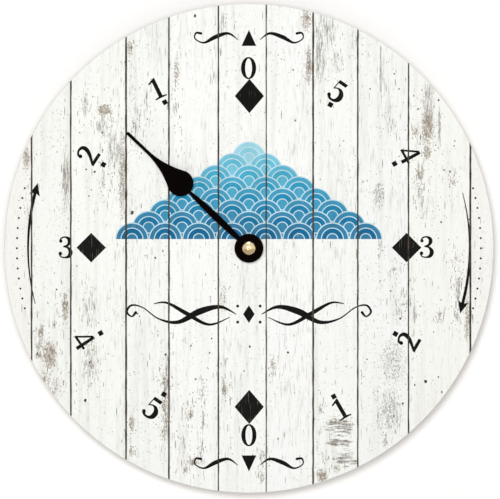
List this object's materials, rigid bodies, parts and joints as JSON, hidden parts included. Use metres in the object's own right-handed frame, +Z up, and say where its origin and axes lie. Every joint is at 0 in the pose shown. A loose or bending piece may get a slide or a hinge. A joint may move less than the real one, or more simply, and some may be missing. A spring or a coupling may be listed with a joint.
{
  "type": "wall tide clock",
  "caption": "Round wall tide clock: a printed board with hour numerals, a spade hand on a brass arbor, and a quartz movement behind it with a hanging ear.",
  "frame": {"origin": "on the hand's axis, in the plane of the wall that the back of the movement rests on", "axes": "+Z up; the dial faces -Y and +Y points into the wall; +X is to the right seen from the front"},
  "size_m": [0.3048, 0.0318, 0.3048],
  "materials": {
    "printed_board": "coated fibreboard with a distressed white plank print",
    "black_aluminium": "satin black stamped hand",
    "brass": "turned brass",
    "rubber": "soft washer rubber",
    "black_case": "fine textured black moulding",
    "natural_acetal": "natural gear moulding",
    "bridge_plastic": "pale grey moulding",
    "magnet": "sintered magnet",
    "motor_steel": "soft magnetic sheet",
    "spring_steel": "plated spring strip",
    "copper_wire": "enamelled copper winding",
    "bobbin_plastic": "dark moulding",
    "circuit_laminate": "brown paper laminate",
    "chip_resin": "black potting resin",
    "crystal_can": "plated can",
    "cell_sleeve": "plain unmarked sleeve over a steel can"
  },
  "bodies": {
    "clock": {"dial_board": "printed_board", "threaded_bushing": "brass", "rubber_washer": "rubber", "dial_washer": "brass", "bushing_nut": "brass", "movement_case": "black_case", "main_plate": "bridge_plastic", "hanging_ear": "black_case", "rear_cover": "black_case", "train_bridge": "bridge_plastic", "stator_plate": "motor_steel", "coil_core": "motor_steel", "coil_bobbin": "bobbin_plastic", "coil_winding": "copper_wire", "circuit_board": "circuit_laminate", "chip_cover": "chip_resin", "quartz_crystal": "crystal_can", "positive_contact": "spring_steel", "negative_contact": "spring_steel"},
    "hand": {"tide_hand": "black_aluminium", "cap_nut": "brass", "tide_arbor": "brass", "tide_wheel": "natural_acetal"},
    "clutch_slip_side": {"clutch_pinion": "natural_acetal", "clutch_spring": "spring_steel"},
    "setting": {"setting_pinion": "natural_acetal", "setting_knob": "black_case"},
    "rotor": {"rotor_pinion": "natural_acetal", "rotor_magnet": "magnet"},
    "second": {"second_wheel": "natural_acetal"},
    "third": {"third_wheel": "natural_acetal"},
    "clutch_drive_side": {"clutch_wheel": "natural_acetal"},
    "cell": {"aa_cell": "cell_sleeve"}
  },
  "joints": [
    {"name": "tide_hand_spin", "type": "hinge", "parent": "clock", "child": "hand", "pos_m": [0, -0.02, 0], "axis": [0, 1, 0], "continuous": true},
    {"name": "clutch_pinion_spin", "type": "hinge", "parent": "clock", "child": "clutch_slip_side", "pos_m": [-0.00804, -0.01, 0.00675], "axis": [0, 1, 0], "continuous": true},
    {"name": "setting_knob_spin", "type": "hinge", "parent": "clock", "child": "setting", "pos_m": [0.01015, -0.003, 0.00369], "axis": [0, 1, 0], "continuous": true},
    {"name": "rotor_spin", "type": "hinge", "parent": "clock", "child": "rotor", "pos_m": [0.01061, -0.01, 0.01407], "axis": [0, 1, 0], "continuous": true},
    {"name": "second_wheel_spin", "type": "hinge", "parent": "clock", "child": "second", "pos_m": [0.00352, -0.01, 0.01532], "axis": [0, 1, 0], "continuous": true},
    {"name": "third_wheel_spin", "type": "hinge", "parent": "clock", "child": "third", "pos_m": [-0.00384, -0.01, 0.01402], "axis": [0, 1, 0], "continuous": true},
    {"name": "clutch_wheel_spin", "type": "hinge", "parent": "clock", "child": "clutch_drive_side", "pos_m": [-0.00804, -0.011, 0.00675], "axis": [0, 1, 0], "continuous": true},
    {"name": "cell_pull_out", "type": "slide", "parent": "clock", "child": "cell", "axis": [0, 1, 0], "range_m": [0, 0.016]}
  ],
  "couplings": [
    {"joint": "clutch_pinion_spin", "follows": "tide_hand_spin", "ratio": -6},
    {"joint": "setting_knob_spin", "follows": "tide_hand_spin", "ratio": -5},
    {"joint": "second_wheel_spin", "follows": "rotor_spin", "ratio": -0.125},
    {"joint": "third_wheel_spin", "follows": "rotor_spin", "ratio": 0.016667},
    {"joint": "clutch_wheel_spin", "follows": "rotor_spin", "ratio": -0.0027778}
  ]
}
